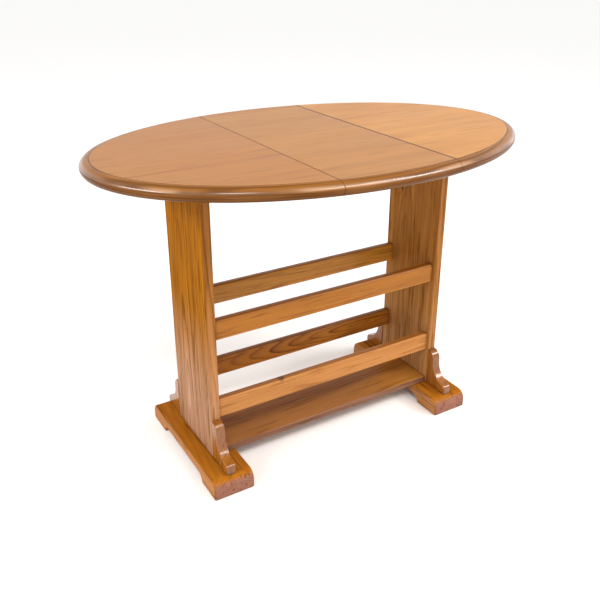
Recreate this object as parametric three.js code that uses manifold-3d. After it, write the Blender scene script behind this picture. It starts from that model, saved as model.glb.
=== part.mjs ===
// Drop leaf table with a turning oval top, two hinged leaves and a trestle with a magazine rack.
// Millimetres. Origin on the floor under the middle of the top, +X along the top, +Z up.
// The front of the table faces -Y.

import * as THREE from 'three';
import { mergeVertices } from 'three/addons/utils/BufferGeometryUtils.js';
import Module from 'manifold-3d';

const wasm = await Module();
wasm.setup();

// Driving dimensions

const fitGap = 0.3;          // between pieces that touch
const tableHeight = 560;

const topLength = 790;
const topWidth = 528;
const topThickness = 22;
const centreBoardWidth = 212;
const lippingWidth = 16;
const edgeRadius = 10.5;     // bullnose of the lipping
const seamGap = 0.7;         // between the centre board and a leaf
const outlineSteps = 48;     // per half turn of an oval

const endCentre = 238.5;     // from the middle of the table to the middle of an end panel
const panelThickness = 17;
const panelWidth = 150;

const footWidth = 74;
const footLength = 283;
const footHeight = 33.5;
const footEndRadius = 17;
const footEaseRadius = 3;
const archHeight = 14;
const archHalfLength = 85.5;

const bracketHeight = 77;
const bracketFoot = 54.5;    // how far a bracket reaches out along the foot
const earRadius = 17.3;
const waistLength = 12;      // the straight part of a bracket below its ear
const hollowReach = 5.5;     // where the hollow of a bracket is pulled to, from the waist
const hollowHeight = 26;
const beadRadius = 9;

const railHeight = 36;
const railThickness = 15;
const railTopRadius = 4.5;
const railBottomRadius = 2;
const railSetBack = 5.5;     // from the edge of the panel to the face of a rail
const upperRailCentre = 277.5;
const lowerRailCentre = 127;
const tenonLength = 8;
const tenonHeight = 24;
const tenonThickness = 9;

const shelfThickness = 13.5;
const shelfWidth = 144;

const pivotRailWidth = 60;
const pivotRailThickness = 18;
const pivotRailDrop = 10;    // from the underside of the top down to the rail
const pivotTenonWidth = 44;
const pivotTenonHeight = 10;
const spacerRadius = 28;
const boltRadius = 4;
const boltHeadRadius = 7.4;
const boltHeadHeight = 5.3;
const washerRadius = 12;
const washerThickness = 1.6;
const insertRadius = 6.5;
const insertLength = 13;
const runningGap = 0.6;      // round the bolt where the rail turns on it

const hingeOffset = 150;     // from the middle of the table to a hinge, along Y
const hingeLength = 36;
const hingeReach = 24;       // from the pin to the edge of a plate
const hingePlateThickness = 1.8;
const knuckleRadius = 2.5;
const knuckleClear = 3;      // from the pin to the other plate's edge
const pinRadius = 1;

const roundSteps = 12;       // sides of a screw, pin or bolt

// Derived dimensions

const underside = tableHeight - topThickness;
const halfCentre = centreBoardWidth / 2;
const seamCentre = halfCentre + seamGap / 2;
const hingeHeight = underside - fitGap - knuckleRadius;
const plateHeight = underside - fitGap - hingePlateThickness;
const panelInner = endCentre - panelThickness / 2;
const panelBottom = footHeight + fitGap;
const panelTop = underside - fitGap;
const railLength = 2 * (panelInner - fitGap);
const railOffset = panelWidth / 2 - railSetBack - railThickness / 2;
const pivotRailTop = underside - pivotRailDrop;
const pivotRailBottom = pivotRailTop - pivotRailThickness;
const pivotRailCentre = (pivotRailTop + pivotRailBottom) / 2;
const tooLong = 2000;        // reaches past the whole table

// Finishes

const goldenPine = { color: 0xc98d4e, roughness: 0.38, metalness: 0 };
const brownLipping = { color: 0x9a6536, roughness: 0.32, metalness: 0 };
const shadedPine = { color: 0x9c6430, roughness: 0.45, metalness: 0 };
const brass = { color: 0xb08d4a, roughness: 0.35, metalness: 1 };
const zincSteel = { color: 0xa9abad, roughness: 0.4, metalness: 1 };

// Geometry helpers

function solid(geometry) {
  const bare = geometry.clone();
  bare.deleteAttribute('normal');
  bare.deleteAttribute('uv');
  const merged = mergeVertices(bare, 1e-4);
  const vertProperties = new Float32Array(merged.attributes.position.array);
  const triVerts = new Uint32Array(merged.index.array);
  return new wasm.Manifold(new wasm.Mesh({ numProp: 3, vertProperties, triVerts }));
}

function geometryOf(manifold) {
  const mesh = manifold.getMesh();
  const geometry = new THREE.BufferGeometry();
  geometry.setAttribute('position', new THREE.BufferAttribute(mesh.vertProperties, 3));
  geometry.setIndex(new THREE.BufferAttribute(mesh.triVerts, 1));
  return geometry;
}

function cut(geometry, ...cutters) {
  const result = cutters.reduce((body, cutter) => body.subtract(solid(cutter)), solid(geometry));
  return geometryOf(result);
}

function join(geometry, ...others) {
  const result = others.reduce((body, other) => body.add(solid(other)), solid(geometry));
  return geometryOf(result);
}

function keepInside(geometry, region) {
  return geometryOf(solid(geometry).intersect(solid(region)));
}

function box(xSize, ySize, zSize, x = 0, y = 0, z = 0) {
  return new THREE.BoxGeometry(xSize, ySize, zSize).translate(x, y, z);
}

// A round bar standing on z, of any number of sides
function upright(radius, height, x, y, z, sides = roundSteps) {
  const bar = new THREE.CylinderGeometry(radius, radius, height, sides);
  return bar.rotateX(Math.PI / 2).translate(x, y, z + height / 2);
}

function alongY(radius, length, y = 0) {
  return new THREE.CylinderGeometry(radius, radius, length, roundSteps).translate(0, y, 0);
}

// Extrudes an outline drawn in Y and Z along X, centred on x = 0
function extrudeAlongX(shape, length, curveSegments = 6) {
  const geometry = new THREE.ExtrudeGeometry(shape, { depth: length, bevelEnabled: false, curveSegments });
  const axes = new THREE.Matrix4().makeBasis(
    new THREE.Vector3(0, 1, 0),
    new THREE.Vector3(0, 0, 1),
    new THREE.Vector3(1, 0, 0),
  );
  return geometry.applyMatrix4(axes).translate(-length / 2, 0, 0);
}

// A countersunk screw with its head at z = 0 and its point up; grow makes the hole for it
function screw(length, shankRadius, headRadius, grow = 0) {
  const rim = 0.5;
  const above = -grow * 4;
  const shank = shankRadius + grow;
  const head = headRadius + grow;
  const point = shank;
  const profile = [
    new THREE.Vector2(0, above),
    new THREE.Vector2(head, above),
    new THREE.Vector2(head, rim),
    new THREE.Vector2(shank, rim + headRadius - shankRadius),
    new THREE.Vector2(shank, length + grow - point),
    new THREE.Vector2(0, length + grow),
  ];
  return new THREE.LatheGeometry(profile, roundSteps).rotateX(Math.PI / 2);
}

function piece(name, geometry, finish, parent) {
  const mesh = new THREE.Mesh(geometry, new THREE.MeshStandardMaterial(finish));
  mesh.name = name;
  parent.add(mesh);
  return mesh;
}

const sideName = (side) => (side < 0 ? 'left' : 'right');
const faceName = (face) => (face < 0 ? 'front' : 'back');
const bothWays = [-1, 1];

// Screws: how big they are and where they go

const footScrew = { length: 50, shank: 2.4, head: 4.8 };
const footScrewOffset = 45;    // either way along a foot
const shelfScrew = { length: 28, shank: 2, head: 4 };
const shelfScrewInset = 23.5;  // from the middle of a foot towards the middle of the table
const hingeScrew = { length: 14, shank: 1.5, head: 2.7 };
const hingeScrewReach = 14;    // from the pin
const hingeScrewOffset = 11.5; // either way along a plate

function screwOf(kind) {
  return screw(kind.length, kind.shank, kind.head);
}

function screwHole(kind, x, y, z) {
  return screw(kind.length, kind.shank, kind.head, fitGap).translate(x, y, z);
}

function addScrew(name, kind, finish, parent, x, y, z) {
  piece(name, screwOf(kind), finish, parent).position.set(x, y, z);
}

// Trestle

function footOutline() {
  const end = footLength / 2;
  const shoulder = footHeight - footEndRadius;
  const roof = archHalfLength - archHeight;
  const outline = new THREE.Shape();
  outline.moveTo(archHalfLength, 0);
  outline.lineTo(end - footEaseRadius, 0);
  outline.absarc(end - footEaseRadius, footEaseRadius, footEaseRadius, -Math.PI / 2, 0, false);
  outline.absarc(end - footEndRadius, shoulder, footEndRadius, 0, Math.PI / 2, false);
  outline.absarc(footEndRadius - end, shoulder, footEndRadius, Math.PI / 2, Math.PI, false);
  outline.absarc(footEaseRadius - end, footEaseRadius, footEaseRadius, Math.PI, Math.PI * 1.5, false);
  outline.lineTo(-archHalfLength, 0);
  outline.absarc(-roof, 0, archHeight, Math.PI, Math.PI / 2, true);
  outline.absarc(roof, 0, archHeight, Math.PI / 2, 0, true);
  return outline;
}

// Drawn with its back edge on y = 0 and its foot on z = 0, reaching out along +Y
function bracketOutline() {
  const waist = earRadius;
  const waistTop = bracketHeight - earRadius;
  const waistBottom = waistTop - waistLength;
  const beadMiddle = bracketFoot - beadRadius;
  const outline = new THREE.Shape();
  outline.moveTo(0, 0);
  outline.lineTo(bracketFoot, 0);
  outline.lineTo(bracketFoot, beadRadius);
  outline.absarc(beadMiddle, beadRadius, beadRadius, 0, Math.PI / 2, false);
  outline.quadraticCurveTo(waist + hollowReach, hollowHeight, waist, waistBottom);
  outline.lineTo(waist, waistTop);
  outline.absarc(0, waistTop, earRadius, 0, Math.PI / 2, false);
  return outline;
}

function railOutline() {
  const halfHeight = railHeight / 2;
  const halfThickness = railThickness / 2;
  const outline = new THREE.Shape();
  const corner = (y, z, radius, from) => outline.absarc(
    Math.sign(y) * (halfThickness - radius),
    Math.sign(z) * (halfHeight - radius),
    radius,
    from,
    from + Math.PI / 2,
    false,
  );
  corner(1, -1, railBottomRadius, -Math.PI / 2);
  corner(1, 1, railTopRadius, 0);
  corner(-1, 1, railTopRadius, Math.PI / 2);
  corner(-1, -1, railBottomRadius, Math.PI);
  return outline;
}

// The tenon that stands out of each end of a rail, and the mortise for it
function tenon(side, thickness, height, grow = 0) {
  const overlap = 1;
  const length = tenonLength + overlap + grow;
  const x = side * (railLength / 2 - overlap + length / 2);
  return box(length, thickness + 2 * grow, height + 2 * grow, x);
}

const railHeights = { upper: upperRailCentre, lower: lowerRailCentre };

function mortises(side) {
  const rails = Object.values(railHeights).flatMap((height) => bothWays.map(
    (face) => tenon(side, tenonThickness, tenonHeight, fitGap).translate(0, face * railOffset, height),
  ));
  const pivot = tenon(side, pivotTenonWidth, pivotTenonHeight, fitGap).translate(0, 0, pivotRailCentre);
  return [...rails, pivot].map((mortise) => mortise.translate(-side * endCentre, 0, 0));
}

function addEndFrame(side, trestle) {
  const name = sideName(side);
  const frame = new THREE.Group();
  frame.position.x = side * endCentre;
  trestle.add(frame);

  const screwSeat = archHeight + fitGap;
  const shelfScrewX = -side * shelfScrewInset;
  const footHoles = bothWays.map((face) => screwHole(footScrew, 0, face * footScrewOffset, screwSeat));
  const shelfHole = screwHole(shelfScrew, shelfScrewX, 0, screwSeat);

  const panelHeight = panelTop - panelBottom;
  const panel = box(panelThickness, panelWidth, panelHeight, 0, 0, panelBottom + panelHeight / 2);
  piece(`${name}_end_panel`, cut(panel, ...mortises(side), ...footHoles), goldenPine, frame);

  const foot = extrudeAlongX(footOutline(), footWidth);
  piece(`${name}_foot`, cut(foot, ...footHoles, shelfHole), goldenPine, frame);

  for (const face of bothWays) {
    const bracket = extrudeAlongX(bracketOutline(), panelThickness);
    const mesh = piece(`${name}_${faceName(face)}_bracket`, bracket, goldenPine, frame);
    mesh.position.set(0, face * (panelWidth / 2 + fitGap), panelBottom);
    mesh.rotation.z = face < 0 ? Math.PI : 0;
  }

  for (const face of bothWays) {
    const screwName = `${name}_${faceName(face)}_foot_screw`;
    addScrew(screwName, footScrew, zincSteel, frame, 0, face * footScrewOffset, screwSeat);
  }
  addScrew(`${name}_shelf_screw`, shelfScrew, zincSteel, frame, shelfScrewX, 0, screwSeat);
}

function addRails(trestle) {
  const plain = extrudeAlongX(railOutline(), railLength);
  const rail = join(plain, ...bothWays.map((side) => tenon(side, tenonThickness, tenonHeight)));
  for (const [level, height] of Object.entries(railHeights)) {
    for (const face of bothWays) {
      const mesh = piece(`${faceName(face)}_${level}_rail`, rail.clone(), goldenPine, trestle);
      mesh.position.set(0, face * railOffset, height);
    }
  }
}

function addShelf(trestle) {
  const middle = panelBottom + shelfThickness / 2;
  const screwX = endCentre - shelfScrewInset;
  const holes = bothWays.map((side) => screwHole(shelfScrew, side * screwX, 0, archHeight + fitGap));
  const shelf = box(railLength, shelfWidth, shelfThickness, 0, 0, middle);
  piece('magazine_shelf', cut(shelf, ...holes), shadedPine, trestle);
}

// The rail under the top, and what stays with it when the top turns
function addPivotRail(trestle) {
  const bore = (height, z) => upright(boltRadius + runningGap, height, 0, 0, z);
  const plain = box(railLength, pivotRailWidth, pivotRailThickness);
  const tenons = bothWays.map((side) => tenon(side, pivotTenonWidth, pivotTenonHeight));
  const drilled = cut(join(plain, ...tenons), bore(2 * pivotRailThickness, -pivotRailThickness));
  piece('pivot_rail', drilled, shadedPine, trestle).position.z = pivotRailCentre;

  const spacerThickness = pivotRailDrop - 2 * fitGap;
  const disc = upright(spacerRadius, spacerThickness, 0, 0, 0, 3 * roundSteps);
  const spacer = cut(disc, bore(3 * spacerThickness, -spacerThickness));
  piece('pivot_spacer', spacer, shadedPine, trestle).position.z = pivotRailTop + fitGap;

  const plate = upright(washerRadius, washerThickness, 0, 0, 0, 2 * roundSteps);
  const washer = cut(plate, bore(3 * washerThickness, -washerThickness));
  piece('pivot_washer', washer, zincSteel, trestle).position.z = pivotRailBottom - fitGap - washerThickness;
}

function buildTrestle() {
  const trestle = new THREE.Group();
  for (const side of bothWays) {
    addEndFrame(side, trestle);
  }
  addRails(trestle);
  addShelf(trestle);
  addPivotRail(trestle);
  return trestle;
}

// Top: every outline below is drawn with the underside of the top on z = 0

function oval(inset) {
  const outline = new THREE.Shape();
  outline.absellipse(0, 0, topLength / 2 - inset, topWidth / 2 - inset, 0, 2 * Math.PI, false, 0);
  return outline;
}

function ovalSlab(inset) {
  const options = { depth: topThickness, bevelEnabled: false, curveSegments: outlineSteps };
  return new THREE.ExtrudeGeometry(oval(inset), options);
}

// The whole oval with its bullnose edge
function roundedOval() {
  const options = {
    depth: topThickness - 2 * edgeRadius,
    bevelThickness: edgeRadius,
    bevelSize: edgeRadius,
    bevelSegments: 5,
    curveSegments: outlineSteps,
  };
  return new THREE.ExtrudeGeometry(oval(edgeRadius), options).translate(0, 0, edgeRadius);
}

// The slice of the top between two places along X
function slice(from, to) {
  return box(to - from, tooLong, tooLong, (from + to) / 2);
}

const centreSlice = slice(-halfCentre, halfCentre);
const rightLeafSlice = slice(halfCentre + seamGap, tooLong);
const ringHole = ovalSlab(lippingWidth).scale(1, 1, 3).translate(0, 0, -topThickness);
const lippingRing = cut(roundedOval(), ringHole);
const innerSlab = ovalSlab(lippingWidth + fitGap);

// A plate that reaches out along +X from its pin, with a knuckle at each given place
function hingePlate(knuckles) {
  const bottom = plateHeight - hingeHeight;
  const middle = bottom + hingePlateThickness / 2;
  const knuckleLength = hingeLength / 3 - fitGap;
  const tabReach = knuckleClear + 1;
  const flatReach = hingeReach - knuckleClear;
  const flat = box(flatReach, hingeLength, hingePlateThickness, knuckleClear + flatReach / 2, 0, middle);
  const tab = box(tabReach, knuckleLength, hingePlateThickness, tabReach / 2, 0, middle);
  const tabs = knuckles.map((y) => tab.clone().translate(0, y, 0));
  const barrels = knuckles.map((y) => alongY(knuckleRadius, knuckleLength, y));
  const bore = alongY(pinRadius + fitGap, 2 * hingeLength);
  const hole = screwHole(hingeScrew, hingeScrewReach, 0, bottom);
  const holes = bothWays.map((way) => hole.clone().translate(0, way * hingeScrewOffset, 0));
  return cut(join(flat, ...tabs, ...barrels), bore, ...holes);
}

// Half a hinge: its plate and two screws, turned to reach the way that direction says
function addHingeHalf(name, knuckles, direction, place, parent) {
  const half = new THREE.Group();
  half.position.set(...place);
  half.rotation.z = direction > 0 ? 0 : Math.PI;
  parent.add(half);
  piece(`${name}_plate`, hingePlate(knuckles), brass, half);
  bothWays.forEach((way, index) => addScrew(
    `${name}_screw_${index + 1}`,
    hingeScrew,
    brass,
    half,
    hingeScrewReach,
    way * hingeScrewOffset,
    plateHeight - hingeHeight,
  ));
}

function addHinge(side, face, top, leaf) {
  const name = `${sideName(side)}_${faceName(face)}`;
  const third = hingeLength / 3;
  const place = [side * seamCentre, face * hingeOffset, hingeHeight - underside];
  addHingeHalf(`${name}_centre_hinge`, [-third, third], -side, place, top);
  addHingeHalf(`${name}_leaf_hinge`, [0], side, [0, face * hingeOffset, 0], leaf);
  piece(`${name}_hinge_pin`, alongY(pinRadius, hingeLength), brass, top).position.set(...place);
}

// Screw holes on one side of the right-hand seam, direction -1 for the centre board's
function hingeHoles(direction) {
  const x = seamCentre + direction * hingeScrewReach;
  return bothWays.flatMap((face) => bothWays.map(
    (way) => screwHole(hingeScrew, x, face * hingeOffset + way * hingeScrewOffset, plateHeight - underside),
  ));
}

function addCentre(top) {
  const insertHole = upright(insertRadius + fitGap, insertLength + 2 * fitGap, 0, 0, -fitGap);
  const rightHoles = hingeHoles(-1);
  const leftHoles = rightHoles.map((hole) => hole.clone().rotateZ(Math.PI));
  const board = cut(keepInside(innerSlab, centreSlice), insertHole, ...rightHoles, ...leftHoles);
  piece('centre_board', board, goldenPine, top);

  const centreRing = keepInside(lippingRing, centreSlice);
  for (const face of bothWays) {
    const half = box(tooLong, tooLong, tooLong, 0, face * tooLong / 2, 0);
    piece(`centre_${faceName(face)}_lipping`, keepInside(centreRing, half), brownLipping, top);
  }

  const insertBore = upright(boltRadius + fitGap, 3 * insertLength, 0, 0, -insertLength);
  const insert = cut(upright(insertRadius, insertLength, 0, 0, 0), insertBore);
  piece('pivot_insert', insert, brass, top);

  const headTop = pivotRailBottom - underside - 2 * fitGap - washerThickness;
  const shankLength = insertLength - fitGap - headTop;
  const head = upright(boltHeadRadius, boltHeadHeight, 0, 0, headTop - boltHeadHeight, 6);
  const shank = upright(boltRadius, shankLength + 1, 0, 0, headTop - 1);
  piece('pivot_bolt', join(head, shank), zincSteel, top);
}

function addLeaf(side, leaf) {
  const name = sideName(side);
  const fromPin = (geometry) => geometry.translate(-seamCentre, 0, underside - hingeHeight);
  const board = fromPin(cut(keepInside(innerSlab, rightLeafSlice), ...hingeHoles(1)));
  const lipping = fromPin(keepInside(lippingRing, rightLeafSlice));
  const turn = side > 0 ? 0 : Math.PI;
  piece(`${name}_leaf`, board, goldenPine, leaf).rotation.z = turn;
  piece(`${name}_leaf_lipping`, lipping, brownLipping, leaf).rotation.z = turn;
}

function buildTop() {
  const top = new THREE.Group();
  top.position.z = underside;
  addCentre(top);
  for (const side of bothWays) {
    const leaf = new THREE.Group();
    leaf.position.set(side * seamCentre, 0, hingeHeight - underside);
    top.add(leaf);
    addLeaf(side, leaf);
    for (const face of bothWays) {
      addHinge(side, face, top, leaf);
    }
  }
  return top;
}

const group = new THREE.Group();
group.add(buildTrestle(), buildTop());

export default group;
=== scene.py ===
import math

import bmesh
import bpy
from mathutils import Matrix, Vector


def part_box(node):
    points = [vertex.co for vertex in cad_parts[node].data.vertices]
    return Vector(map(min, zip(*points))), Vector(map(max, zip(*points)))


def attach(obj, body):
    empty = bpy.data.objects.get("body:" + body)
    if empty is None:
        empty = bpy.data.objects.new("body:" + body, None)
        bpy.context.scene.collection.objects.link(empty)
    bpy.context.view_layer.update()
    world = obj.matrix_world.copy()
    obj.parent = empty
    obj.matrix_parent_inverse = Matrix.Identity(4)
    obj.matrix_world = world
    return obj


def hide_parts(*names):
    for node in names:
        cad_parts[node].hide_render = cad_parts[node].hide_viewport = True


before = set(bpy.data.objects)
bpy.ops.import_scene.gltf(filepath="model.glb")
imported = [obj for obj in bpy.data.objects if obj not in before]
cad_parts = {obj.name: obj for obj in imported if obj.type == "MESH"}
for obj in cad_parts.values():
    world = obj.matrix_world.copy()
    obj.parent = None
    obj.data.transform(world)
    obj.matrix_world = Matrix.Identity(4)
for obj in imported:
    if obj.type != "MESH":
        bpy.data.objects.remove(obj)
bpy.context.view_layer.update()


# Camera

cameraSettings = {
    "place": (-0.6533, -1.0436, 0.8536),
    "turn": 0.5371,             # to the right of straight ahead, in radians
    "tilt": 0.4057,             # down from level
    "lens": 43.9,
    "shift": (0.0045, -0.0633),
}


def addCamera():
    turn, tilt = cameraSettings["turn"], cameraSettings["tilt"]
    ahead = Vector((math.sin(turn) * math.cos(tilt), math.cos(turn) * math.cos(tilt), -math.sin(tilt)))
    bpy.ops.object.camera_add(location=cameraSettings["place"])
    camera = bpy.context.active_object
    camera.rotation_euler = ahead.to_track_quat("-Z", "Y").to_euler()
    camera.data.sensor_width = 36
    camera.data.lens = cameraSettings["lens"]
    camera.data.shift_x, camera.data.shift_y = cameraSettings["shift"]
    camera.data.clip_start = 0.01
    camera.data.clip_end = 200
    bpy.context.scene.camera = camera


addCamera()
bpy.context.scene.view_settings.view_transform = "Standard"
print("camera is in place")


# Finishes

fullTurn = 6.2832


class Wire:    # one output of a node; sums with it add Math nodes
    def __init__(self, tree, socket=None):
        self.tree = tree
        self.socket = socket

    def node(self, kind, settings=None, sockets=None, output=0):
        made = self.tree.nodes.new(kind)
        for name, value in (settings or {}).items():
            if name == "stops":
                setStops(made.color_ramp, value)
            else:
                setattr(made, name, value)
        for name, value in (sockets or {}).items():
            if isinstance(value, Wire):
                self.tree.links.new(made.inputs[name], value.socket)
            else:
                made.inputs[name].default_value = value
        return Wire(self.tree, made.outputs[output])

    def maths(self, operation, *values):
        return self.node("ShaderNodeMath", {"operation": operation}, dict(enumerate(values)))

    def __add__(self, other):
        return self.maths("ADD", self, other)

    def __radd__(self, other):
        return self.maths("ADD", other, self)

    def __sub__(self, other):
        return self.maths("SUBTRACT", self, other)

    def __rsub__(self, other):
        return self.maths("SUBTRACT", other, self)

    def __mul__(self, other):
        return self.maths("MULTIPLY", self, other)

    def __truediv__(self, other):
        return self.maths("DIVIDE", self, other)

    def __neg__(self):
        return self.maths("MULTIPLY", self, -1.0)

    def least(self, other):
        return self.maths("MINIMUM", self, other)

    def most(self, other):
        return self.maths("MAXIMUM", self, other)

    def parts(self):          # the three numbers of a vector
        split = self.node("ShaderNodeSeparateXYZ", None, {0: self}).socket.node
        return [Wire(self.tree, output) for output in split.outputs]

    def span(self, *others):  # the length of a vector of these wires
        total = self * self
        for other in others:
            total = total + other * other
        return self.maths("SQRT", total)

    def step(self, low, high):    # 0 below low, 1 above high, eased in between
        settings = {"interpolation_type": "SMOOTHSTEP"}
        return self.node("ShaderNodeMapRange", settings, {0: self, 1: low, 2: high, 3: 0.0, 4: 1.0})

    def fadeOut(self, reach):     # 1 at zero, 0 from reach on
        return 1.0 - self.step(0.0, reach)


def setStops(ramp, stops):
    while len(ramp.elements) > 1:
        ramp.elements.remove(ramp.elements[-1])
    for index, (place, colour) in enumerate(stops):
        element = ramp.elements[0] if index == 0 else ramp.elements.new(place)
        element.position = place
        element.color = (*colour, 1.0)


def vectorOf(wire, x, y, z):
    return wire.node("ShaderNodeCombineXYZ", None, {0: x, 1: y, 2: z})


def noiseAt(wire, place, scale, detail, roughness=0.5, output=0):
    sockets = {"Vector": place, "Scale": scale, "Detail": detail, "Roughness": roughness}
    return wire.node("ShaderNodeTexNoise", None, sockets, output)


def grainNoise(wire, spot, settings, seed=0.0):    # settings: (scale along, scale across, detail, roughness)
    along, across, through = spot
    lengthwise, crosswise, detail, roughness = settings
    place = vectorOf(wire, along * lengthwise + seed, across * crosswise, through * crosswise)
    return noiseAt(wire, place, 1.0, detail, roughness)


def mixColours(factor, first, second):
    return factor.node("ShaderNodeMix", {"data_type": "RGBA"}, {0: factor, 6: first, 7: second}, 2)


warmth = (0.25, 0.80)    # how much of green and of blue goes dark twice, so that a dark place is also warmer


def shadeColour(colour, strength):    # darker or lighter by a wire of factors near 1
    green, blue = (strength * (strength * share + (1 - share)) for share in warmth)
    factors = vectorOf(strength, strength, green, blue)
    return strength.node("ShaderNodeVectorMath", {"operation": "MULTIPLY"}, {0: colour, 1: factors})


def newFinish(name):
    finish = bpy.data.materials.new(name)
    finish.use_nodes = True
    finish.node_tree.nodes.clear()
    return finish, Wire(finish.node_tree)


def closeFinish(start, colour, roughness, bump, fixed):
    sockets = {"Base Color": colour, "Roughness": roughness, "Normal": bump, **fixed}
    surface = start.node("ShaderNodeBsdfPrincipled", None, sockets)
    output = start.tree.nodes.new("ShaderNodeOutputMaterial")
    start.tree.links.new(output.inputs[0], surface.socket)


pineLook = {
    "early": (0.50, 0.235, 0.075),     # the pale wood between two rings
    "late": (0.24, 0.085, 0.016),      # the dark line that closes a ring
    "amber": (0.40, 0.15, 0.03),       # where the stain has taken more
    "knot": (0.06, 0.016, 0.003),
    "ring": 0.0048,                    # from one ring to the next
    "heart": (0.03, -0.05),            # the middle of the tree, across and through the board
    "lean": 0.05,                      # how the heart runs out of the board along the grain
    "sway": 0.010,                     # how far the rings wander
    "lines": 0.55,                     # how dark the rings are
    "fibres": 0.16,                    # contrast of the finest lines
    "clouds": 0.22,                    # contrast of the soft patches
    "flecks": 0.25,                    # contrast of the short dark pores
    "streaks": 0.30,                   # long dark streaks of resin
    "paintedTopShade": 0.0,                   # painted shade on the upward face, standing in for the shadow of the table top
    "tints": [],                       # (axis, colour, share) on the faces square to an axis
    "bands": 0.0,                      # broad soft bands of darker and paler wood
    "paintedLight": None,                      # painted light, fading in along an axis: (axis, full at, gone at, colour, share)
    "seams": [],                       # (place along X, reach, share) of the dirt in a seam
    "joints": [],                      # (place along Y, reach, share) of a glued joint between planks
    "knots": [],                       # (along, across, radius)
    "edgeTone": 0.30,                       # a mark along the edges: pale wear, and painted shade where its colour is dark
    "edgeToneColour": (0.60, 0.30, 0.09),
    "edgeToneWidth": 0.0035,
    "paintedEndShade": 0.25,                  # painted shade, with old polish and dust, where the board meets its neighbour
    "gloss": 0.38,                     # the roughness
    "shine": 0.12,
    "coat": 0.03,
    "relief": 0.35,
    "seed": 0.0,
}
pineNoise = {    # (scale along, scale across, detail, roughness)
    "fine": (14, 620, 3.0, 0.6),
    "broad": (5, 90, 2.0, 0.5),
    "fleck": (55, 900, 1.0, 0.5),
    "band": (1.6, 38, 3.0, 0.6),
    "streak": (11, 150, 2.0, 0.55),
}
knotSettings = {
    "width": 0.55,       # as a share of its length along the grain
    "spread": 2.6,       # how far the rings bend round it, in radii
    "bend": 1.6,         # how far they are pushed aside, in radii
    "curl": 0.0011,      # from one of its own rings to the next
}
ringStops = [    # from the start of a ring to its dark close
    (0.0, (0.10,) * 3), (0.40, (0.16,) * 3), (0.72, (0.55,) * 3),
    (0.86, (1.0,) * 3), (0.95, (0.85,) * 3), (1.0, (0.10,) * 3),
]


def edgeBandMask(spot, low, high, width):    # near two faces of a box at once
    reach = [(wire - a).least(b - wire) for wire, a, b in zip(spot, low, high)]
    middle = reach[0].least(reach[1]).most(reach[0].most(reach[1]).least(reach[2]))
    return middle.fadeOut(width)


def ringsOf(start, look, along, across, through):
    seed = look["seed"]
    slow = vectorOf(start, along * 2.4 + seed, across * 9.0, through * 9.0 + seed)
    sway = noiseAt(start, slow, 1.0, 2.0, 0.45, 1)
    swaySide, swayDepth = sway.parts()[:2]
    side = across - look["heart"][0] + (swaySide - 0.5) * (2 * look["sway"])
    depth = through - look["heart"][1] + along * look["lean"] + (swayDepth - 0.5) * (2 * look["sway"])
    radius = side.span(depth)
    knotDark = None
    for knotAlong, knotAcross, knotRadius in look["knots"]:
        downBoard = (along - knotAlong) * knotSettings["width"]
        overBoard = across - knotAcross
        span = downBoard.span(overBoard)
        pull = start.maths("EXPONENT", -(span * span) * (1.0 / (knotSettings["spread"] * knotRadius) ** 2))
        radius = radius + pull * (knotRadius * knotSettings["bend"])
        heart = 1.0 - span.step(knotRadius * 0.55, knotRadius)
        curls = start.maths("SINE", span * (fullTurn / knotSettings["curl"])) * 0.18 + 0.82
        dark = heart * curls
        knotDark = dark if knotDark is None else knotDark.most(dark)
    phase = radius / look["ring"] + noiseAt(start, slow, 3.0, 1.0) * 0.8
    place = start.maths("FRACT", phase)
    ramp = place.node("ShaderNodeValToRGB", {"stops": ringStops}, {0: place})
    turn = start.node("ShaderNodeTexWhiteNoise", {"noise_dimensions": "1D"},
                      {"W": start.maths("FLOOR", phase) + seed})
    return ramp * (0.45 + turn * 0.55), knotDark


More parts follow.
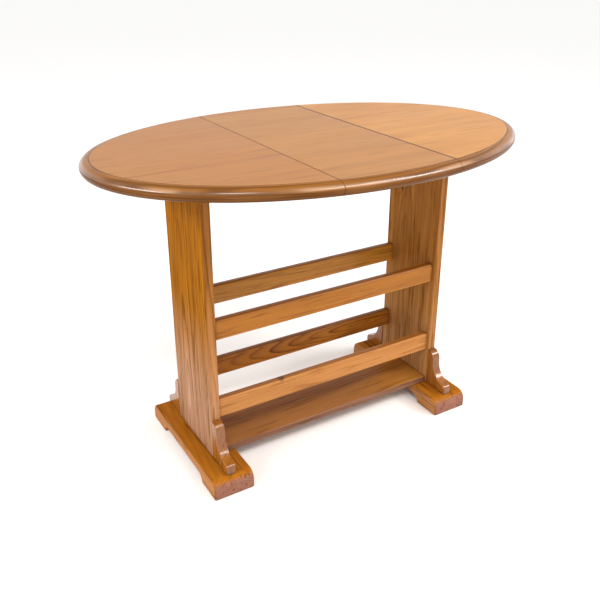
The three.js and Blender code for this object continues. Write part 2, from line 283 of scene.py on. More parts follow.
def pine(name, grain, box, **changes):
    look = {**pineLook, **changes}
    low, high = box
    centre = (low + high) / 2
    finish, start = newFinish(name)
    place = start.node("ShaderNodeTexCoord", None, None, 3)
    x, y, z = place.parts()
    local = {"X": x - centre.x, "Y": y - centre.y, "Z": z - centre.z}
    spot = [local[axis] for axis in grain]
    along, across, through = spot
    line, knotDark = ringsOf(start, look, along, across, through)

    seed = look["seed"]
    fine = grainNoise(start, spot, pineNoise["fine"], seed)
    broad = grainNoise(start, spot, pineNoise["broad"], seed)
    fleck = grainNoise(start, spot, pineNoise["fleck"], seed).step(0.66, 0.78)
    streak = grainNoise(start, spot, pineNoise["streak"], seed).step(0.54, 0.68)
    cloud = noiseAt(start, vectorOf(start, along * 3.2, across * 13 + seed, through * 13), 1.0, 3.0, 0.55)

    facing = start.node("ShaderNodeTexCoord", None, None, 1).parts()
    pale = mixColours(cloud.step(0.42, 0.75) * 0.65, (*look["early"], 1), (*look["amber"], 1))
    # painted light: a paler colour coming in along one axis
    if look["paintedLight"]:
        axis, full, gone, lightColour, share = look["paintedLight"]
        reach = 1.0 - (local[axis] + centre["XYZ".index(axis)]).step(full, gone)
        pale = mixColours(reach * share, pale, (*lightColour, 1))
    # tints by facing; on the panels, feet and shelf these are painted light
    for axis, tint, share in look["tints"]:
        side = facing["XYZ".index(axis)]
        pale = mixColours((side * side).step(0.35, 0.9) * share, pale, (*tint, 1))
    colour = mixColours((line * look["lines"]).least(1.0), pale, (*look["late"], 1))
    strength = 1.0 + (fine - 0.5) * look["fibres"] + (broad - 0.5) * (look["fibres"] * 1.4)
    strength = strength + (cloud - 0.5) * look["clouds"]
    if look["bands"]:
        band = grainNoise(start, spot, pineNoise["band"], seed)
        strength = strength + (band - 0.5) * look["bands"]
    strength = strength * (1.0 - fleck * look["flecks"]) * (1.0 - streak * look["streaks"])
    colour = shadeColour(colour, strength)
    if knotDark is not None:
        colour = mixColours(knotDark * 0.85, colour, (*look["knot"], 1))
    roughness = look["gloss"] + (fine - 0.5) * 0.10 + (cloud - 0.5) * 0.12
    for seam, width, share in look["seams"]:
        colour = shadeColour(colour, 1.0 - start.maths("ABSOLUTE", x - seam).fadeOut(width) * share)
    for joint, width, share in look["joints"]:
        gap = start.maths("ABSOLUTE", y - joint + (cloud - 0.5) * 0.004)
        colour = shadeColour(colour, 1.0 - gap.fadeOut(width) * broad.step(0.38, 0.55) * share)
    # painted shade: the upward faces darker, as in the shadow of the table top
    if look["paintedTopShade"]:
        colour = shadeColour(colour, 1.0 - facing[2].step(0.45, 0.95) * look["paintedTopShade"])
    # the edge tone: pale wear on the rails, painted shade along the edges where its colour is dark
    if look["edgeTone"]:
        edgeBand = edgeBandMask((x, y, z), low, high, look["edgeToneWidth"]) * broad.step(0.30, 0.62)
        colour = mixColours(edgeBand * look["edgeTone"], colour, (*look["edgeToneColour"], 1))
        roughness = roughness + edgeBand * 0.12
    # painted shade, with old polish and dust, near both ends along the grain
    if look["paintedEndShade"]:
        axis = "XYZ".index(grain[0])
        span = (x, y, z)[axis]
        shadedEnds = (span - low[axis]).least(high[axis] - span).fadeOut(0.007)
        colour = shadeColour(colour, 1.0 - shadedEnds * look["paintedEndShade"])
    height = line * 0.35 + fine * 0.45 + broad * 0.5 + noiseAt(start, place, 22.0, 1.0) * 2.2
    sockets = {"Strength": look["relief"], "Distance": 0.0006, "Height": height}
    bump = start.node("ShaderNodeBump", None, sockets)
    closeFinish(start, colour, roughness, bump, {
        "Coat Weight": look["coat"], "Coat Roughness": 0.16, "Specular IOR Level": look["shine"],
    })
    return finish


lippingLook = {
    "early": (0.165, 0.058, 0.007),
    "top": (0.250, 0.092, 0.012),      # painted light: paler on the upward face, as if lit from above
    "late": (0.050, 0.014, 0.002),
    "paintedHighlight": (0.66, 0.40, 0.24),        # painted highlight on the round of the edge
    "edgeTone": (0.34, 0.15, 0.05),         # bare wood worn on the outermost line, with a painted highlight there
    "knot": (0.035, 0.010, 0.003),
    "knots": [(-0.2923, -0.1632, 0.0062), (-0.0674, -0.2443, 0.0070), (0.31, 0.17, 0.006)],    # (x, y, radius)
    "knotHeight": 0.551,
    "knotNarrow": 0.75,                # less than 1 makes it wider than it is high
    "knotCurl": 0.0016,
    "layer": 0.0045,                   # from one dark line to the next
    "meanRadius": 0.33,                # turns an angle into a length round the oval
}
lippingNoise = {
    "fine": (16, 700, 3.0, 0.6),
    "broad": (6, 130, 2.0, 0.5),
    "cloud": (7, 20, 2.0, 0.5),
}


def lippingPine(name, halfLength, halfWidth, inset):    # the grain follows the oval round
    finish, start = newFinish(name)
    place = start.node("ShaderNodeTexCoord", None, None, 3)
    x, y, z = place.parts()
    u, v = x / halfLength, y / halfWidth
    angle = start.maths("ARCTAN2", u, -v)    # its jump is at the middle of the back
    reach = u.span(v)
    along = angle * lippingLook["meanRadius"]
    across = (reach - 1.0) * lippingLook["meanRadius"]
    fine, broad, cloud = (grainNoise(start, (along, across, z), settings) for settings in lippingNoise.values())
    layers = (z * 0.8 + across * 0.6 + along * 0.012) / lippingLook["layer"] + cloud * 2.0
    line = start.maths("SINE", layers * fullTurn) * 0.5 + 0.5
    upward = start.node("ShaderNodeTexCoord", None, None, 1).parts()[2]
    # painted light: paler on the upward faces
    early = mixColours(upward.step(0.55, 0.95), (*lippingLook["early"], 1), (*lippingLook["top"], 1))
    colour = mixColours(line.step(0.35, 1.0) * 0.5, early, (*lippingLook["late"], 1))
    # painted shade: darker on the faces that turn downward
    colour = shadeColour(colour, 0.72 + upward.step(-0.35, 0.55) * 0.28)
    strength = 1.0 + (fine - 0.5) * 0.25 + (broad - 0.5) * 0.45 + (cloud - 0.5) * 0.5
    colour = shadeColour(colour, strength)
    pull = None
    for knotX, knotY, knotRadius in lippingLook["knots"]:
        narrow = lippingLook["knotNarrow"]
        span = ((x - knotX) * narrow).span((y - knotY) * narrow, z - lippingLook["knotHeight"])
        curls = start.maths("SINE", span * (fullTurn / lippingLook["knotCurl"])) * 0.3 + 0.7
        dark = (1.0 - span.step(knotRadius * 0.5, knotRadius)) * curls
        pull = dark if pull is None else pull.most(dark)
    colour = mixColours(pull * 0.8, colour, (*lippingLook["knot"], 1))
    # bare wood on the outermost line, with a painted highlight
    edgeTone = reach.step(0.985, 1.0) * broad.step(0.42, 0.66)
    colour = mixColours(edgeTone * 0.30, colour, (*lippingLook["edgeTone"], 1))
    # painted highlight: a pale broken band on the round of the edge
    paintedHighlight = upward.step(0.25, 0.50) * (1.0 - upward.step(0.68, 0.90)) * cloud.step(0.44, 0.62)
    colour = mixColours(paintedHighlight * 0.45, colour, (*lippingLook["paintedHighlight"], 1))
    inner = (x / (halfLength - inset)).span(y / (halfWidth - inset)) - 1.0
    colour = shadeColour(colour, 1.0 - inner.fadeOut(0.006) * 0.35)    # old polish in the glue line
    roughness = 0.26 + (fine - 0.5) * 0.12 + edgeTone * 0.12
    height = fine * 0.4 + broad * 0.6 + noiseAt(start, place, 34.0, 1.0) * 3.0 - pull * 0.8
    bump = start.node("ShaderNodeBump", None, {"Strength": 0.35, "Distance": 0.0005, "Height": height})
    polish = upward.step(0.05, 0.45) * (1.0 - upward.step(0.78, 0.96)) * 0.95 + 0.03
    closeFinish(start, colour, roughness, bump, {
        "Coat Weight": polish, "Coat Roughness": 0.19, "Specular IOR Level": 0.08,
    })
    return finish


def metal(name, bright, dull, stain, roughness, brushed):    # brushed: scales of the scratches on X, Y and Z
    finish, start = newFinish(name)
    place = start.node("ShaderNodeTexCoord", None, None, 3)
    x, y, z = place.parts()
    cloud = noiseAt(start, place, 160.0, 4.0, 0.6)
    spots = noiseAt(start, place, 900.0, 2.0, 0.6)
    scratch = noiseAt(start, vectorOf(start, x * brushed[0], y * brushed[1], z * brushed[2]), 1.0, 2.0, 0.6)
    colour = mixColours(cloud.step(0.40, 0.68), (*bright, 1), (*dull, 1))
    colour = mixColours(spots.step(0.62, 0.74) * 0.6, colour, (*stain, 1))
    colour = shadeColour(colour, 0.9 + scratch * 0.2)
    rough = roughness + cloud * 0.22 + (scratch - 0.5) * 0.12
    height = scratch * 0.6 + spots * 0.5
    bump = start.node("ShaderNodeBump", None, {"Strength": 0.25, "Distance": 0.0002, "Height": height})
    closeFinish(start, colour, rough, bump, {"Metallic": 1.0})
    return finish


# Modelling

def clearSelection():
    if bpy.context.mode != "OBJECT":
        bpy.ops.object.mode_set(mode="OBJECT")
    bpy.ops.object.select_all(action="DESELECT")


def openPiece(piece):    # ready for edit mode, alone
    clearSelection()
    piece.select_set(True)
    bpy.context.view_layer.objects.active = piece
    bpy.ops.object.mode_set(mode="EDIT")
    bpy.ops.mesh.select_mode(type="VERT")
    bpy.ops.mesh.select_all(action="SELECT")


def namePiece(name):     # the primitive just added, put at the origin with its place in its mesh
    piece = bpy.context.active_object
    piece.name = name
    piece.data.name = name
    bpy.ops.object.transform_apply(location=True, rotation=True, scale=True)
    openPiece(piece)
    return piece


def pick(kind, test):    # selects the points, edges or faces that pass the test
    bpy.ops.mesh.select_mode(type=kind)
    bpy.ops.mesh.select_all(action="DESELECT")
    mesh = bmesh.from_edit_mesh(bpy.context.edit_object.data)
    parts = {"VERT": mesh.verts, "EDGE": mesh.edges, "FACE": mesh.faces}[kind]
    for part in parts:
        if test(part):
            part.select_set(True)
    bmesh.update_edit_mesh(bpy.context.edit_object.data)


def edgeRuns(edge, axis):    # along one axis
    offset = edge.verts[1].co - edge.verts[0].co
    return abs(abs(offset[axis]) - offset.length) < 1e-6


def edgeAt(edge, axis, place):
    return all(abs(point.co[axis] - place) < 1e-5 for point in edge.verts)


def roundEdges(radius, segments):
    bpy.ops.mesh.bevel(offset=radius, offset_type="OFFSET", segments=segments, profile=0.5,
                       affect="EDGES", clamp_overlap=True)


def block(name, low, high):
    clearSelection()
    bpy.ops.mesh.primitive_cube_add(size=1, location=(low + high) / 2, scale=high - low)
    return namePiece(name)


def drawFace(name, points):    # a closed outline drawn from point to point, then filled
    clearSelection()
    bpy.ops.mesh.primitive_plane_add(size=0.01, location=(0, 0, 0))
    piece = namePiece(name)
    bpy.ops.mesh.merge(type="CENTER")
    bpy.ops.transform.translate(value=points[0])
    for before, after in zip(points, points[1:]):
        bpy.ops.mesh.extrude_region_move(TRANSFORM_OT_translate={"value": after - before})
    bpy.ops.mesh.select_all(action="SELECT")
    bpy.ops.mesh.edge_face_add()
    return piece


def arc(centre, radius, start, end, steps):    # points on the YZ plane, angles in degrees
    turns = [math.radians(start + (end - start) * step / steps) for step in range(steps + 1)]
    return [(centre[0] + radius * math.cos(turn), centre[1] + radius * math.sin(turn)) for turn in turns]


def outwards():
    bpy.ops.mesh.select_all(action="SELECT")
    bpy.ops.mesh.remove_doubles(threshold=1e-6)
    bpy.ops.mesh.normals_make_consistent(inside=False)


def drill(piece, cutters):    # round holes: (x, y, bottom, top, radius)
    for x, y, bottom, top, radius in cutters:
        clearSelection()
        bpy.ops.mesh.primitive_cylinder_add(vertices=32, radius=radius, depth=top - bottom,
                                            location=(x, y, (bottom + top) / 2))
        cutter = bpy.context.active_object
        clearSelection()
        piece.select_set(True)
        bpy.context.view_layer.objects.active = piece
        hole = piece.modifiers.new("hole", "BOOLEAN")
        hole.operation = "DIFFERENCE"
        hole.solver = "EXACT"
        hole.object = cutter
        bpy.ops.object.modifier_apply(modifier=hole.name)
        bpy.data.objects.remove(cutter)


smoothAngle = 40    # degrees, the sharpest bend that is shaded round


def finishPiece(piece, body, nodes, finish):
    clearSelection()
    piece.select_set(True)
    bpy.context.view_layer.objects.active = piece
    bpy.ops.object.shade_smooth_by_angle(angle=math.radians(smoothAngle))
    even = piece.modifiers.new("even shading", "WEIGHTED_NORMAL")
    even.keep_sharp = True
    even.weight = 90
    bpy.ops.object.modifier_apply(modifier=even.name)
    piece.data.materials.clear()
    piece.data.materials.append(finish)
    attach(piece, body)
    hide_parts(*nodes)


def copyPiece(piece, name):
    copied = piece.copy()
    copied.data = piece.data.copy()
    copied.name = name
    copied.data.name = name
    bpy.context.scene.collection.objects.link(copied)
    return copied


def keepPart(piece, place, direction):    # cuts off what lies on the far side of a plane
    openPiece(piece)
    bpy.ops.mesh.bisect(plane_co=place, plane_no=direction, use_fill=True, clear_outer=True, threshold=1e-6)


# Top

topSettings = {
    "points": 256,
    "round": 0.0105,
    "roundSteps": 12,
    "drop": 0.0003,          # from the field down to the lipping
    "growth": 0.0001,        # of the boards over their solids, towards the lipping
    "glueLine": 0.0002,
    "ease": 0.0006,          # on the edges at a seam
    "halfSeam": 0.0003,      # from the edge of the centre board to where the dirt is thickest
    "rightDirt": (0.0046, 0.70),    # reach and share
    "leftDirt": (0.0030, 0.40),
}
topPine = {
    "early": (0.380, 0.150, 0.013),
    "late": (0.27, 0.092, 0.010),
    "amber": (0.335, 0.120, 0.014),
    "bands": 0.30,
    "ring": 0.0085,
    "sway": 0.016,
    "lines": 0.26,
    "streaks": 0.16,
    "fibres": 0.18,
    "clouds": 0.24,
    "flecks": 0.22,
    "edgeTone": 0.0,
    "paintedEndShade": 0.0,
    "gloss": 0.40,
    "shine": 0.27,
    "coat": 0.02,
}
topChanges = {
    "centreBoard": {"heart": (-0.30, -0.10), "lean": 0.10, "seed": 3.1},
    "rightLeaf": {
        "heart": (0.34, -0.09), "lean": -0.12, "seed": 11.7,
        "early": (0.50, 0.202, 0.018), "joints": [(0.086, 0.0028, 0.40)],
    },
    "leftLeaf": {
        "heart": (0.30, -0.08), "lean": 0.10, "seed": 23.4,
        "early": (0.362, 0.132, 0.010), "joints": [(-0.081, 0.0028, 0.50)],
    },
}


def oval(name, halfLength, halfWidth, low, high):    # a plain oval slab
    clearSelection()
    bpy.ops.mesh.primitive_circle_add(vertices=topSettings["points"], radius=1, fill_type="NGON",
                                      location=(0, 0, 0))
    piece = namePiece(name)
    bpy.ops.transform.resize(value=(halfLength, halfWidth, 1))
    bpy.ops.transform.translate(value=(0, 0, low))
    bpy.ops.mesh.extrude_region_move(TRANSFORM_OT_translate={"value": (0, 0, high - low)})
    outwards()
    return piece


def lippingProfile(width, bottom, top):    # (inset, height) from the glue line over the edge and back
    radius, drop = topSettings["round"], topSettings["drop"]
    steps = topSettings["roundSteps"]
    equator = (bottom + top) / 2
    turns = [math.radians(90 * step / steps) for step in range(steps + 1)]
    rise, fall = top - drop - equator, equator - bottom
    upper = [(width * (1 - math.sin(turn)), equator + rise * math.cos(turn)) for turn in turns]
    lower = [(radius * (1 - math.cos(turn)), equator - fall * math.sin(turn)) for turn in turns[1:]]
    return upper + lower + [(width, bottom), upper[0]]


def ovalRing(name, halfLength, halfWidth, profile):
    clearSelection()
    bpy.ops.mesh.primitive_circle_add(vertices=topSettings["points"], radius=1, fill_type="NOTHING",
                                      location=(0, 0, 0))
    piece = namePiece(name)
    before, height = profile[0]
    bpy.ops.transform.resize(value=(halfLength - before, halfWidth - before, 1))
    bpy.ops.transform.translate(value=(0, 0, height))
    for inset, level in profile[1:]:
        bpy.ops.mesh.extrude_region_move(TRANSFORM_OT_translate={"value": (0, 0, level - height)})
        factors = ((halfLength - inset) / (halfLength - before), (halfWidth - inset) / (halfWidth - before), 1)
        bpy.ops.transform.resize(value=factors, center_override=(0, 0, level))
        before, height = inset, level
    outwards()
    return piece


def cutFrom(pattern, name, planes):
    piece = copyPiece(pattern, name)
    for place, direction in planes:
        keepPart(piece, place, direction)
    return piece


def makeTop():
    low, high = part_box("centre_board")
    bottom, top = low.z, high.z
    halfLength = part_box("right_leaf_lipping")[1].x
    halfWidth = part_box("centre_back_lipping")[1].y
    seamIn, seamOut = high.x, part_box("right_leaf")[0].x
    inset = halfWidth - high.y - topSettings["growth"]
    width = inset - topSettings["glueLine"]    # of the lipping
    middle = [((seamIn, 0, 0), (1, 0, 0)), ((-seamIn, 0, 0), (-1, 0, 0))]    # planes: (place, side cut off)
    right, left = [((seamOut, 0, 0), (-1, 0, 0))], [((-seamOut, 0, 0), (1, 0, 0))]

    field = oval("field", halfLength - inset, halfWidth - inset, bottom, top)
    clearSelection()
    halfSeam = topSettings["halfSeam"]
    seams = [(seamIn + halfSeam, *topSettings["rightDirt"]), (-seamIn - halfSeam, *topSettings["leftDirt"])]
    wholeBox = (Vector((-halfLength, -halfWidth, bottom)), Vector((halfLength, halfWidth, top)))
    boards = {
        "centreBoard": ("turning_top", "centre_board", middle),
        "rightLeaf": ("right_drop_leaf", "right_leaf", right),
        "leftLeaf": ("left_drop_leaf", "left_leaf", left),
    }
    for name, (body, node, planes) in boards.items():
        board = cutFrom(field, name, planes)
        openPiece(board)
        pick("EDGE", lambda edge: edgeRuns(edge, 1) and edgeAt(edge, 2, top)
             and min(abs(abs(edge.verts[0].co.x) - seam) for seam in (seamIn, seamOut)) < 1e-5)
        roundEdges(topSettings["ease"], 3)
        outwards()
        look = {**topPine, **topChanges[name], "seams": seams}
        finishPiece(board, body, [node], pine("pine " + name, "XYZ", wholeBox, **look))
    bpy.data.objects.remove(field)

    ring = ovalRing("ring", halfLength, halfWidth, lippingProfile(width, bottom, top))
    clearSelection()
    finish = lippingPine("brown lipping", halfLength, halfWidth, width)
    lippings = {
        "frontLipping": ("turning_top", "centre_front_lipping", [*middle, ((0, 0, 0), (0, 1, 0))]),
        "backLipping": ("turning_top", "centre_back_lipping", [*middle, ((0, 0, 0), (0, -1, 0))]),
        "rightLipping": ("right_drop_leaf", "right_leaf_lipping", right),
        "leftLipping": ("left_drop_leaf", "left_leaf_lipping", left),
    }
    for name, (body, node, planes) in lippings.items():
        lipping = cutFrom(ring, name, planes)
        outwards()
        finishPiece(lipping, body, [node], finish)
    bpy.data.objects.remove(ring)


makeTop()
print("top is made")


# End panels

panelSettings = {"cornerRadius": 0.0022, "endRadius": 0.0006}
panelPine = {
    "early": (0.330, 0.118, 0.004),
    "late": (0.125, 0.041, 0.002),
    "amber": (0.258, 0.090, 0.003),
    "streaks": 0.38,
    "shine": 0.0,
    "coat": 0.05,
    "fibres": 0.52,
    "bands": 0.40,
    "lines": 0.80,
    # painted light: the faces square to Y paler and pinker, as if lit from the front
    "tints": [("Y", (0.36, 0.155, 0.055), 0.65)],
    "edgeTone": 0.55,
    # painted shade: a dark line along the edges
    "edgeToneColour": (0.09, 0.025, 0.002),
    "edgeToneWidth": 0.0026,
    # painted sheen: paler and pinker towards the bottom
    "paintedLight": ("Z", 0.12, 0.33, (0.40, 0.225, 0.140), 0.90),
    "ring": 0.0060,
    "heart": (0.02, -0.035),
}
panelChanges = {
    "left": {},
    "right": {
        "early": (0.36, 0.152, 0.034), "amber": (0.27, 0.112, 0.024), "lines": 0.50, "bands": 0.70,
        # painted sheen: paler towards the bottom
        "paintedLight": ("Z", 0.10, 0.30, (0.39, 0.195, 0.075), 0.8), "knots": [(0.134, 0.036, 0.0035)],
    },
}


def makePanels():
    for side, way in (("left", -1), ("right", 1)):
        node = side + "_end_panel"
        low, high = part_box(node)
        panel = block(side + "Panel", low, high)
        pick("EDGE", lambda edge: edgeRuns(edge, 2))
        roundEdges(panelSettings["cornerRadius"], 4)
        pick("EDGE", lambda edge: edgeAt(edge, 2, low.z) or edgeAt(edge, 2, high.z))
        roundEdges(panelSettings["endRadius"], 2)
        outwards()
        look = {**panelPine, **panelChanges[side], "seed": 5.0 + 9 * way}
        finish = pine("pine " + side + " panel", "ZYX", (low, high), **look)
        finishPiece(panel, "trestle", [node], finish)


makePanels()


# Feet

footSettings = {
    "endRadius": 0.017,
    "endSteps": 10,
    "heelRadius": 0.003,
    "archHeight": 0.014,
    "archHalfLength": 0.0855,
    "rimRadius": 0.0028,
    "seatBottom": 0.010,         # where a screw's hole starts, over the floor
    "screwSeat": 0.0012,         # how far the hole runs past the lower end of the screw
    "screwPlay": 0.0004,
}
footPine = {
    "early": (0.36, 0.125, 0.011),
    "late": (0.16, 0.045, 0.004),
    "amber": (0.30, 0.095, 0.007),
    "ring": 0.0050,
    "lines": 0.45,
    "heart": (0.01, -0.045),
    # painted light: pale pinkish end faces (square to Y) and paler long sides (square to X)
    "tints": [("Y", (0.35, 0.180, 0.160), 0.85), ("X", (0.42, 0.21, 0.105), 0.6)],
    "edgeTone": 0.45,
    # painted shade: a dark line along the edges
    "edgeToneColour": (0.10, 0.03, 0.004),
    "shine": 0.0,
    "coat": 0.06,
    "fibres": 0.34,
    "streaks": 0.40,
}


def footOutline(low, high):
    end, top = high.y, high.z
    heel, curve, arch = footSettings["heelRadius"], footSettings["endRadius"], footSettings["archHeight"]
    steps = footSettings["endSteps"]
    roof = footSettings["archHalfLength"] - arch
    points = arc((end - heel, heel), heel, -90, 0, 4)
    points += arc((end - curve, top - curve), curve, 0, 90, steps)
    points += arc((curve - end, top - curve), curve, 90, 180, steps)
    points += arc((heel - end, heel), heel, 180, 270, 4)
    points += arc((-roof, 0), arch, 180, 90, 8)
    points += arc((roof, 0), arch, 90, 0, 8)
    return [Vector((low.x, y, z)) for y, z in points]


def makeFeet():
    for side, way in (("left", -1), ("right", 1)):
        node = side + "_foot"
        low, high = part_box(node)
        foot = drawFace(side + "Foot", footOutline(low, high))
        bpy.ops.mesh.extrude_region_move(TRANSFORM_OT_translate={"value": (high.x - low.x, 0, 0)})
        outwards()
        pick("EDGE", lambda edge: edgeAt(edge, 0, low.x) or edgeAt(edge, 0, high.x))
        roundEdges(footSettings["rimRadius"], 4)
        outwards()
        clearSelection()
        holes = []
        for screw in (side + "_front_foot_screw", side + "_back_foot_screw", side + "_shelf_screw"):
            screwLow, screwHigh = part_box(screw)
            middle = (screwLow + screwHigh) / 2
            radius = (screwHigh.y - screwLow.y) / 2 + footSettings["screwPlay"]
            seatTop = screwLow.z + footSettings["screwSeat"]
            holes.append((middle.x, middle.y, footSettings["seatBottom"], seatTop, radius))
        drill(foot, holes)
        look = {**footPine, "seed": 41.0 + 7 * way}
        finish = pine("pine " + side + " foot", "YXZ", (low, high), **look)
        finishPiece(foot, "trestle", [node], finish)


makeFeet()


# Brackets

bracketSettings = {
    "earRadius": 0.0173,
    "waistLength": 0.012,
    "beadRadius": 0.009,
    "sweep": (0.0055, 0.026),    # how far the hollow bows out, and how high
    "sweepSteps": 10,
    "rimRadius": 0.0013,
}
bracketPine = {
    "early": (0.27, 0.093, 0.013),
    "late": (0.11, 0.031, 0.004),
    "ring": 0.0050,
    "lines": 0.50,
    "tints": [("Y", (0.18, 0.064, 0.022), 0.7)],
    "edgeTone": 0.45,
    # painted shade: a dark line along the edges
    "edgeToneColour": (0.10, 0.033, 0.006),
    "gloss": 0.24,
    "shine": 0.25,
    "coat": 0.75,
}


def bracketOutline(reach, height):
    ear, bead = bracketSettings["earRadius"], bracketSettings["beadRadius"]
    waistTop = height - ear
    waistBottom = waistTop - bracketSettings["waistLength"]
    points = [(0.0, 0.0), (reach, 0.0)]
    points += arc((reach - bead, bead), bead, 0, 90, 8)
    start, end = Vector((reach - bead, 2 * bead)), Vector((ear, waistBottom))
    sweepOut, sweepUp = bracketSettings["sweep"]
    pull = Vector((ear + sweepOut, sweepUp))
    steps = bracketSettings["sweepSteps"]
    for step in range(1, steps + 1):
        share = step / steps
        point = start * (1 - share) ** 2 + pull * (2 * share * (1 - share)) + end * share ** 2
        points.append((point.x, point.y))
    points += arc((0.0, waistTop), ear, 0, 90, 9)
    return points


def makeBrackets():
    low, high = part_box("left_back_bracket")
    outline = bracketOutline(high.y - low.y, high.z - low.z)
    pattern = drawFace("bracket", [Vector((0, y, z)) for y, z in outline])
    width = high.x - low.x
    bpy.ops.mesh.extrude_region_move(TRANSFORM_OT_translate={"value": (width, 0, 0)})
    outwards()
    pick("EDGE", lambda edge: edgeAt(edge, 0, 0) or edgeAt(edge, 0, width))
    roundEdges(bracketSettings["rimRadius"], 3)
    outwards()
    clearSelection()
    for index, (side, face) in enumerate((s, f) for s in ("left", "right") for f in ("front", "back")):
        node = side + "_" + face + "_bracket"
        low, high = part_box(node)
        bracket = copyPiece(pattern, side + face.capitalize() + "Bracket")
        openPiece(bracket)
        if face == "front":
            bpy.ops.transform.resize(value=(1, -1, 1), center_override=(0, 0, 0))
        bpy.ops.transform.translate(value=(low.x, low.y if face == "back" else high.y, low.z))
        outwards()
        look = {**bracketPine, "seed": 60.0 + index}
        finish = pine("pine " + node.replace("_", " "), "ZXY", (low, high), **look)
        finishPiece(bracket, "trestle", [node], finish)
    bpy.data.objects.remove(pattern)


makeBrackets()
print("end frames are made")


# Rails and shelf

fitGap = 0.0003    # between a rail's shoulder and the panel
railSettings = {"topRadius": 0.0045, "bottomRadius": 0.002, "endEase": 0.0004}
railPine = {
    "early": (0.42, 0.165, 0.030),
    "late": (0.17, 0.050, 0.006),
    "amber": (0.34, 0.115, 0.014),
    "edgeTone": 0.35,
    # painted shade on the rail tops under the table top
    "paintedTopShade": 0.40,
    "fibres": 0.34,
    "gloss": 0.32,
    "shine": 0.14,
    "coat": 0.12,
}
railChanges = {
    "front_upper_rail": {
        "heart": (0.05, -0.012), "lines": 0.40, "seed": 71.0,
        "early": (0.325, 0.116, 0.011), "amber": (0.27, 0.090, 0.007),
    },
    "front_lower_rail": {
        "heart": (0.06, 0.02), "lines": 0.30, "seed": 82.0,
        "early": (0.43, 0.178, 0.046), "knots": [(-0.1045, 0.0175, 0.0038)],
    },
    "back_upper_rail": {"heart": (0.03, 0.03), "lines": 0.45, "seed": 93.0, "early": (0.46, 0.200, 0.028)},
    "back_lower_rail": {
        "heart": (0.004, 0.010), "lines": 0.95, "lean": 0.09, "seed": 104.0,
        "early": (0.43, 0.155, 0.018), "late": (0.12, 0.033, 0.002),
    },
}


def betweenPanels(box):    # a rail's box without its tenons
    low, high = box
    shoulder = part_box("right_end_panel")[0].x - fitGap
    return Vector((-shoulder, low.y, low.z)), Vector((shoulder, high.y, high.z))


def makeRails():
    for node, changes in railChanges.items():
        low, high = betweenPanels(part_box(node))
        words = node.split("_")
        rail = block(words[0] + words[1].capitalize() + "Rail", low, high)
        pick("EDGE", lambda edge: edgeRuns(edge, 0) and edgeAt(edge, 2, high.z))
        roundEdges(railSettings["topRadius"], 6)
        pick("EDGE", lambda edge: edgeRuns(edge, 0) and edgeAt(edge, 2, low.z))
        roundEdges(railSettings["bottomRadius"], 4)
        pick("EDGE", lambda edge: edgeAt(edge, 0, low.x) or edgeAt(edge, 0, high.x))
        roundEdges(railSettings["endEase"], 1)
        outwards()
        finish = pine("pine " + node.replace("_", " "), "XZY", (low, high), **{**railPine, **changes})
        finishPiece(rail, "trestle", [node], finish)


makeRails()

shelfSettings = {
    "edgeRadius": 0.0018,
    "endEase": 0.0006,
    "holeRadius": 0.0026,
    "holePast": 0.0003,      # past the end of the screw
    "overrun": 0.002,        # of a drill past a face
}
shelfPine = {
    "early": (0.30, 0.118, 0.028),
    "late": (0.13, 0.042, 0.007),
    "amber": (0.22, 0.080, 0.014),
    "ring": 0.0060,
    "lines": 0.55,
    # painted light: paler front and back edges
    "tints": [("Y", (0.17, 0.090, 0.070), 0.8)],
    # painted light: paler and more golden towards the right end
    "paintedLight": ("X", 0.22, 0.02, (0.42, 0.18, 0.03), 0.60),
    "edgeTone": 0.0,
}


def makeShelf():
    low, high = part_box("magazine_shelf")
    shelf = block("magazineShelf", low, high)
    pick("EDGE", lambda edge: edgeRuns(edge, 0))
    roundEdges(shelfSettings["edgeRadius"], 4)
    pick("EDGE", lambda edge: edgeAt(edge, 0, low.x) or edgeAt(edge, 0, high.x))
    roundEdges(shelfSettings["endEase"], 2)
    outwards()
    clearSelection()
    holes = []
    for side in ("left", "right"):
        screwLow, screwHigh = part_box(side + "_shelf_screw")
        middle = (screwLow + screwHigh) / 2
        holeLow, holeHigh = low.z - shelfSettings["overrun"], screwHigh.z + shelfSettings["holePast"]
        holes.append((middle.x, middle.y, holeLow, holeHigh, shelfSettings["holeRadius"]))
    drill(shelf, holes)
    look = {**shelfPine, "seed": 131.0, "heart": (0.03, -0.04)}
    finish = pine("pine shelf", "XYZ", (low, high), **look)
    finishPiece(shelf, "trestle", ["magazine_shelf"], finish)


makeShelf()

pivotSettings = {"edgeRadius": 0.0025, "bore": 0.0046, "overrun": 0.002}
# the shelf's painted light comes along into the pivot rail
pivotPine = {**shelfPine, "early": (0.40, 0.165, 0.05), "seed": 150.0, "lines": 0.5}


def makePivotRail():
    low, high = betweenPanels(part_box("pivot_rail"))
    rail = block("pivotRail", low, high)
    pick("EDGE", lambda edge: edgeRuns(edge, 0))
    roundEdges(pivotSettings["edgeRadius"], 4)
    outwards()
    clearSelection()
    overrun = pivotSettings["overrun"]
    drill(rail, [(0, 0, low.z - overrun, high.z + overrun, pivotSettings["bore"])])
    finish = pine("pine pivot rail", "XYZ", (low, high), **pivotPine)
    finishPiece(rail, "trestle", ["pivot_rail"], finish)

    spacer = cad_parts["pivot_spacer"]
    look = {**pivotPine, "seed": 160.0, "paintedEndShade": 0.0}
    spacer.data.materials.clear()
    spacer.data.materials.append(pine("pine spacer", "XYZ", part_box("pivot_spacer"), **look))


makePivotRail()
print("rails and shelf are made")


# Metal parts

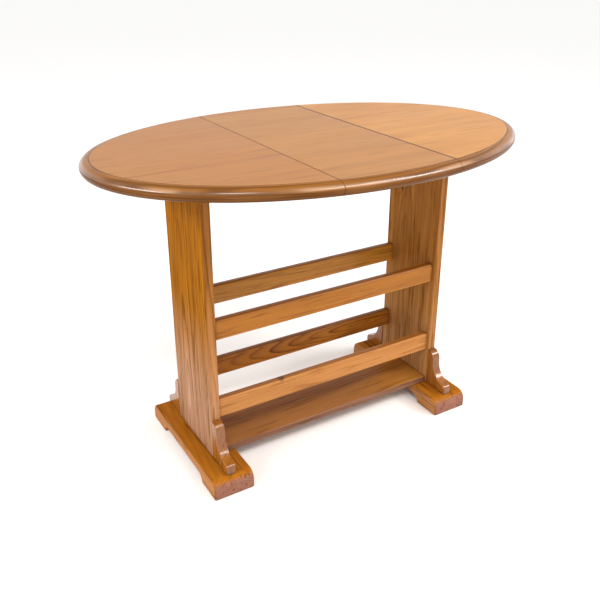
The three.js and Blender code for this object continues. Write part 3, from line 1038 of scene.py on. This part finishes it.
metalSettings = {
    "brass": {
        "bright": (0.62, 0.40, 0.13), "dull": (0.36, 0.21, 0.07), "stain": (0.12, 0.07, 0.03),
        "roughness": 0.28, "brushed": (160, 3000, 3000),
    },
    "steel": {
        "bright": (0.56, 0.57, 0.58), "dull": (0.36, 0.37, 0.38), "stain": (0.20, 0.15, 0.11),
        "roughness": 0.32, "brushed": (900, 900, 200),
    },
}
metalWords = {
    "brass": ("hinge", "pivot_insert"),
    "steel": ("foot_screw", "shelf_screw", "pivot_bolt", "pivot_washer"),
}


def finishMetal():
    brass = metal("aged brass", **metalSettings["brass"])
    steel = metal("zinc steel", **metalSettings["steel"])
    for name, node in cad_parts.items():
        for finish, words in ((brass, metalWords["brass"]), (steel, metalWords["steel"])):
            if any(word in name for word in words):
                node.data.materials.clear()
                node.data.materials.append(finish)


finishMetal()
print("metal parts have their finish")


# Floor and light

floorSettings = {"size": 80, "colour": (0.97, 0.97, 0.968)}
lightSettings = {
    "left": {"place": (-2.6, -0.1, 1.7), "size": (1.5, 0.45), "power": 38, "colour": (1.0, 0.97, 0.93)},
    "front": {"place": (0.75, -1.45, 2.0), "size": (1.3, 0.32), "power": 18, "colour": (1.0, 0.97, 0.93)},
    "right": {"place": (2.0, -1.8, 2.1), "size": (0.9, 0.6), "power": 36, "colour": (1.0, 0.96, 0.90)},
}
sunSettings = {"from": (-0.36, -0.55, 0.86), "strength": 0.80, "softness": 16, "colour": (1.0, 0.98, 0.95)}
lampTarget = (0, 0, 0.35)
skyStrength = 1.25
skyStops = [    # from straight down to straight up
    (0.0, (0.92, 0.92, 0.92)),
    (0.50, (1.0, 1.0, 1.0)),
    (0.70, (0.95, 0.95, 0.95)),
    (0.86, (0.50, 0.50, 0.50)),
    (1.0, (0.42, 0.42, 0.42)),
]


def addStage():
    clearSelection()
    bpy.ops.mesh.primitive_plane_add(size=floorSettings["size"], location=(0, 0, 0))
    floor = bpy.context.active_object
    floor.name = "floor"
    finish, start = newFinish("pale floor")
    surface = start.node("ShaderNodeBsdfDiffuse", None, {"Color": (*floorSettings["colour"], 1)})
    start.tree.links.new(start.tree.nodes.new("ShaderNodeOutputMaterial").inputs[0], surface.socket)
    floor.data.materials.append(finish)

    for name, settings in lightSettings.items():
        bpy.ops.object.light_add(type="AREA", location=settings["place"])
        lamp = bpy.context.active_object
        lamp.name = name + "Light"
        lamp.data.shape = "RECTANGLE"
        lamp.data.size, lamp.data.size_y = settings["size"]
        lamp.data.energy = settings["power"]
        lamp.data.color = settings["colour"]
        aim = Vector(lampTarget) - Vector(settings["place"])
        lamp.rotation_euler = aim.to_track_quat("-Z", "Y").to_euler()

    bpy.ops.object.light_add(type="SUN", location=sunSettings["from"])
    sun = bpy.context.active_object
    sun.name = "softSun"
    sun.data.energy = sunSettings["strength"]
    sun.data.angle = math.radians(sunSettings["softness"])
    sun.data.color = sunSettings["colour"]
    sun.rotation_euler = (-Vector(sunSettings["from"])).to_track_quat("-Z", "Y").to_euler()

    world = bpy.data.worlds.new("studio")
    world.use_nodes = True
    world.node_tree.nodes.clear()
    bpy.context.scene.world = world
    start = Wire(world.node_tree)
    place = start.node("ShaderNodeTexCoord")
    height = place.node("ShaderNodeSeparateXYZ", None, {0: place}, 2)
    sky = height.node("ShaderNodeValToRGB", {"stops": skyStops}, {0: height * 0.5 + 0.5})
    glow = sky.node("ShaderNodeBackground", None, {"Color": sky, "Strength": skyStrength})
    start.tree.links.new(start.tree.nodes.new("ShaderNodeOutputWorld").inputs[0], glow.socket)


addStage()
clearSelection()
print("floor and light are in place")
